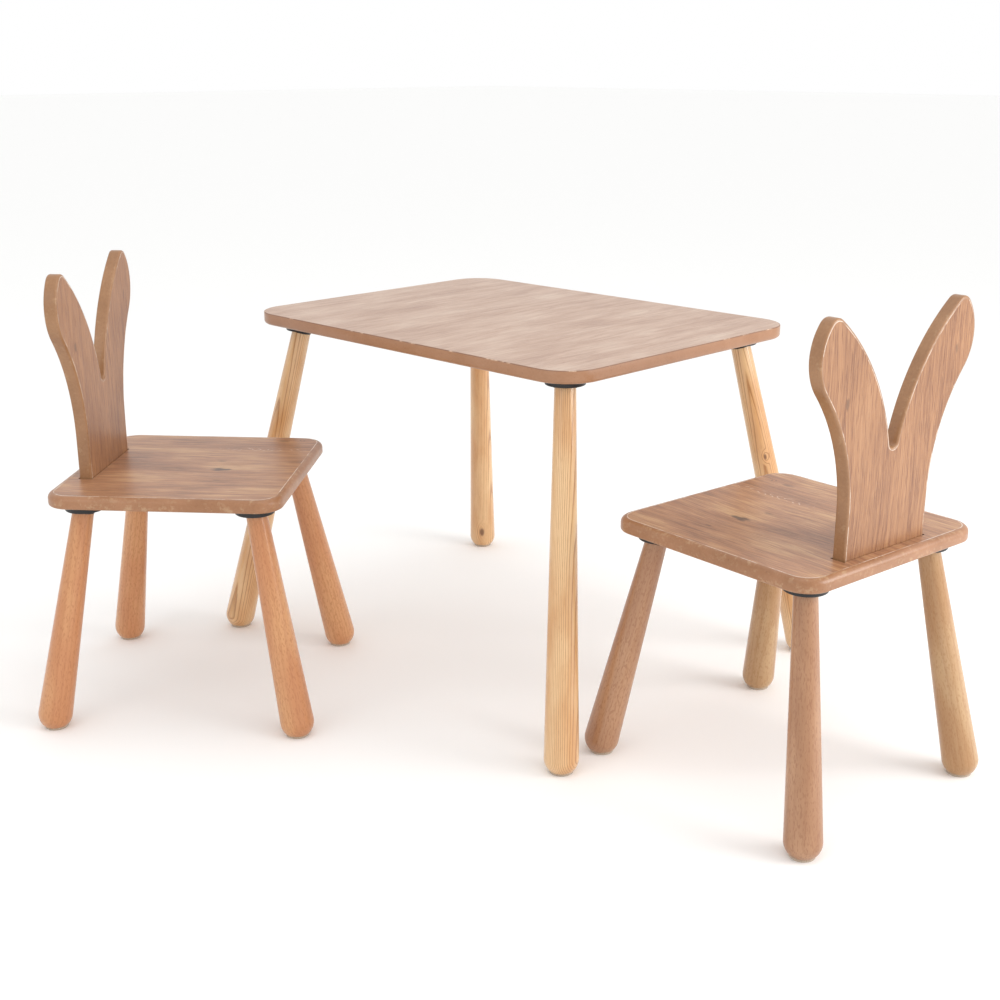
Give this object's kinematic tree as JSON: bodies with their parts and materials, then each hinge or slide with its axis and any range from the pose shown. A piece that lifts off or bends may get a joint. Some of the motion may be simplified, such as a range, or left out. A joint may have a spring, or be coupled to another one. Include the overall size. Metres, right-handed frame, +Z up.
{
  "type": "kids table and chairs",
  "caption": "Child's table with rounded rectangular top and splayed turned legs, with matching chairs whose backrests are cut as rabbit ears.",
  "frame": {"origin": "floor point under the middle of the whole set's footprint", "axes": "+X along the table's long side towards the right chair, +Y along the table's short side, away from the left chair, +Z up"},
  "size_m": [1.1016, 0.9114, 0.567],
  "materials": {
    "board": "washed oak decor faces, lacquered MDF edges, satin",
    "table_leg_wood": "turned ash, clear lacquer, semi gloss",
    "chair_leg_wood": "turned beech, clear lacquer, satin",
    "plate_plastic": "black moulded, satin",
    "zinc_steel": "zinc plated",
    "felt": "pressed felt pad"
  },
  "bodies": {
    "table": {"table_foot_pad_front_left": "felt", "table_foot_pad_front_right": "felt", "table_foot_pad_rear_left": "felt", "table_foot_pad_rear_right": "felt", "table_hanger_bolts": "zinc_steel", "table_leg_front_left": "table_leg_wood", "table_leg_front_right": "table_leg_wood", "table_leg_rear_left": "table_leg_wood", "table_leg_rear_right": "table_leg_wood", "table_plate_front_left": "plate_plastic", "table_plate_front_right": "plate_plastic", "table_plate_rear_left": "plate_plastic", "table_plate_rear_right": "plate_plastic", "table_plate_screws": "zinc_steel", "table_threaded_inserts": "zinc_steel", "table_top": "board"},
    "chair_left": {"chair_left_backrest": "board", "chair_left_backrest_screws": "zinc_steel", "chair_left_foot_pad_front_left": "felt", "chair_left_foot_pad_front_right": "felt", "chair_left_foot_pad_rear_left": "felt", "chair_left_foot_pad_rear_right": "felt", "chair_left_hanger_bolts": "zinc_steel", "chair_left_leg_front_left": "chair_leg_wood", "chair_left_leg_front_right": "chair_leg_wood", "chair_left_leg_rear_left": "chair_leg_wood", "chair_left_leg_rear_right": "chair_leg_wood", "chair_left_plate_front_left": "plate_plastic", "chair_left_plate_front_right": "plate_plastic", "chair_left_plate_rear_left": "plate_plastic", "chair_left_plate_rear_right": "plate_plastic", "chair_left_plate_screws": "zinc_steel", "chair_left_seat": "board", "chair_left_threaded_inserts": "zinc_steel"},
    "chair_right": {"chair_right_backrest": "board", "chair_right_backrest_screws": "zinc_steel", "chair_right_foot_pad_front_left": "felt", "chair_right_foot_pad_front_right": "felt", "chair_right_foot_pad_rear_left": "felt", "chair_right_foot_pad_rear_right": "felt", "chair_right_hanger_bolts": "zinc_steel", "chair_right_leg_front_left": "chair_leg_wood", "chair_right_leg_front_right": "chair_leg_wood", "chair_right_leg_rear_left": "chair_leg_wood", "chair_right_leg_rear_right": "chair_leg_wood", "chair_right_plate_front_left": "plate_plastic", "chair_right_plate_front_right": "plate_plastic", "chair_right_plate_rear_left": "plate_plastic", "chair_right_plate_rear_right": "plate_plastic", "chair_right_plate_screws": "zinc_steel", "chair_right_seat": "board", "chair_right_threaded_inserts": "zinc_steel"}
  },
  "joints": [
    {"name": "chair_left_slide", "type": "slide", "parent": "table", "child": "chair_left", "axis": [0.7627, 0.6468, 0], "range_m": [-0.3, 0.2]},
    {"name": "chair_right_slide", "type": "slide", "parent": "table", "child": "chair_right", "axis": [-0.9945, 0.1045, 0], "range_m": [-0.3, 0.2]}
  ]
}
